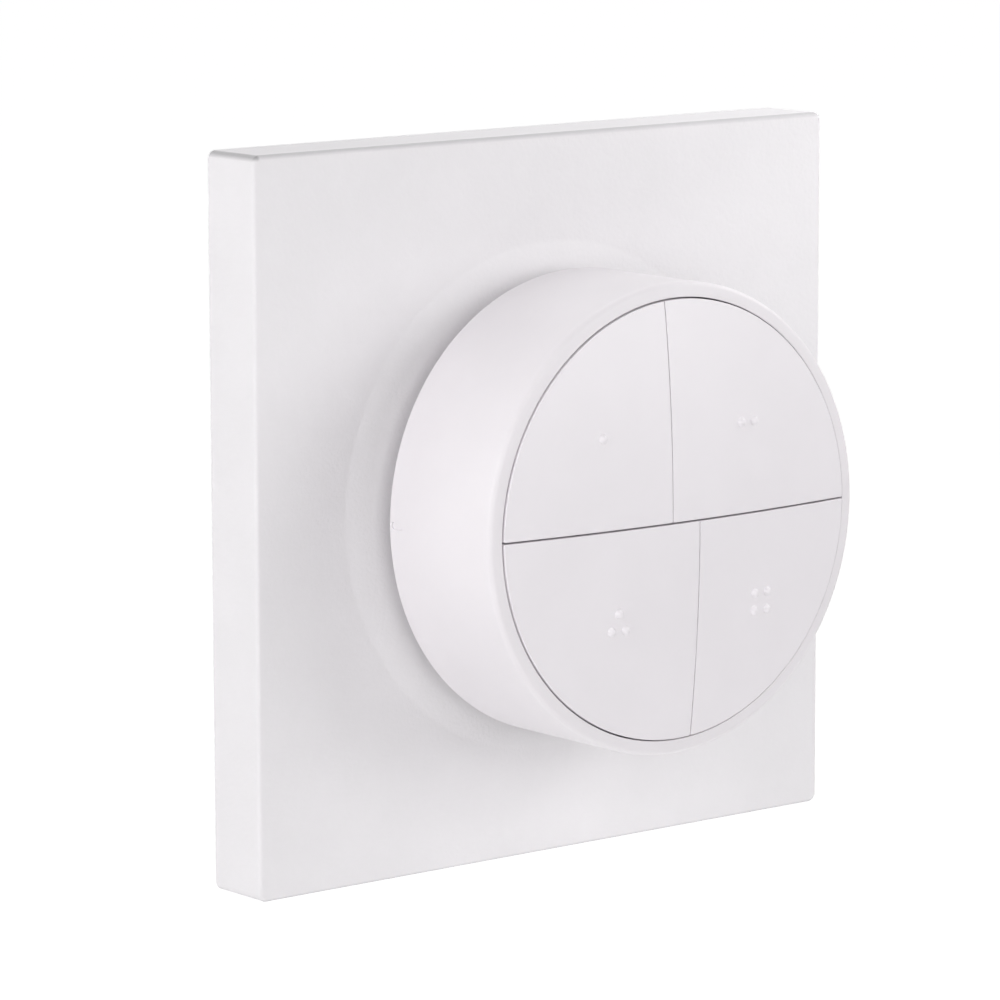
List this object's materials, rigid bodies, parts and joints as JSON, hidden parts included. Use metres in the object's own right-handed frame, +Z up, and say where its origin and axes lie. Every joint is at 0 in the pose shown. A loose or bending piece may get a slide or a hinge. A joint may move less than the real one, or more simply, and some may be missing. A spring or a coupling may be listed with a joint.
{
  "type": "smart button",
  "caption": "Wall-mounted smart button: square plate with a magnetic round puck whose dial ring turns round domed push buttons marked with raised dots.",
  "frame": {"origin": "centre of the plate's back, on the wall", "axes": "+Y into the wall, so the front looks along -Y; +Z up; +X to the right seen from the front"},
  "size_m": [0.08, 0.0313, 0.08],
  "materials": {
    "plate_white": "fine moulded grain, matt",
    "dial_white": "smooth satin",
    "button_white": "smooth satin",
    "housing_white": "moulded, matt",
    "base_grey": "moulded, matt",
    "foam_grey": "foam tape",
    "keeper_steel": "zinc plated",
    "magnet_nickel": "nickel plated",
    "cell_steel": "nickel plated",
    "contact_spring": "nickel plated bronze",
    "board_green": "solder mask",
    "shield_tin": "tinned",
    "chip_black": "moulded",
    "switch_black": "moulded",
    "stem_white": "moulded",
    "screw_steel": "zinc plated",
    "glide_ivory": "acetal",
    "encoder_black": "bonded ferrite"
  },
  "bodies": {
    "wall_mount": {"wall_plate": "plate_white", "base_plate": "base_grey", "keeper_segments": "keeper_steel", "adhesive_pads": "foam_grey"},
    "puck": {"base_housing": "housing_white", "dock_magnets": "magnet_nickel", "coin_cell": "cell_steel", "battery_contact_negative": "contact_spring", "battery_contact_positive": "contact_spring", "circuit_board": "board_green", "radio_module": "shield_tin", "board_chips": "chip_black", "hall_sensors": "chip_black", "tact_switches": "switch_black", "pairing_switch": "switch_black", "button_carrier": "base_grey", "carrier_screws": "screw_steel", "glide_ring": "glide_ivory", "dial_retainer": "screw_steel"},
    "door": {"battery_door": "housing_white"},
    "dial": {"dial_ring": "dial_white", "encoder_ring": "encoder_black"},
    "pairing": {"pairing_button": "stem_white", "pairing_stem": "stem_white"},
    "button_1": {"button_1": "button_white", "switch_stem_1": "stem_white"},
    "button_2": {"button_2": "button_white", "switch_stem_2": "stem_white"},
    "button_3": {"button_3": "button_white", "switch_stem_3": "stem_white"},
    "button_4": {"button_4": "button_white", "switch_stem_4": "stem_white"}
  },
  "joints": [
    {"name": "puck_lift", "type": "slide", "parent": "wall_mount", "child": "puck", "axis": [0, -1, 0], "range_m": [0, 0.03]},
    {"name": "dial_turn", "type": "hinge", "parent": "puck", "child": "dial", "pos_m": [0, -0.0126, 0], "axis": [0, -1, 0], "continuous": true},
    {"name": "door_twist", "type": "hinge", "parent": "puck", "child": "door", "pos_m": [0, -0.0029, 0], "axis": [0, 1, 0], "range_deg": [0, 40]},
    {"name": "pairing_press", "type": "slide", "parent": "puck", "child": "pairing", "axis": [0, -1, 0], "range_m": [0, 0.0003], "stiffness_N_per_m": 3000},
    {"name": "button_1_press", "type": "slide", "parent": "puck", "child": "button_1", "axis": [0, 1, 0], "range_m": [0, 0.0005], "stiffness_N_per_m": 3000},
    {"name": "button_2_press", "type": "slide", "parent": "puck", "child": "button_2", "axis": [0, 1, 0], "range_m": [0, 0.0005], "stiffness_N_per_m": 3000},
    {"name": "button_3_press", "type": "slide", "parent": "puck", "child": "button_3", "axis": [0, 1, 0], "range_m": [0, 0.0005], "stiffness_N_per_m": 3000},
    {"name": "button_4_press", "type": "slide", "parent": "puck", "child": "button_4", "axis": [0, 1, 0], "range_m": [0, 0.0005], "stiffness_N_per_m": 3000}
  ]
}
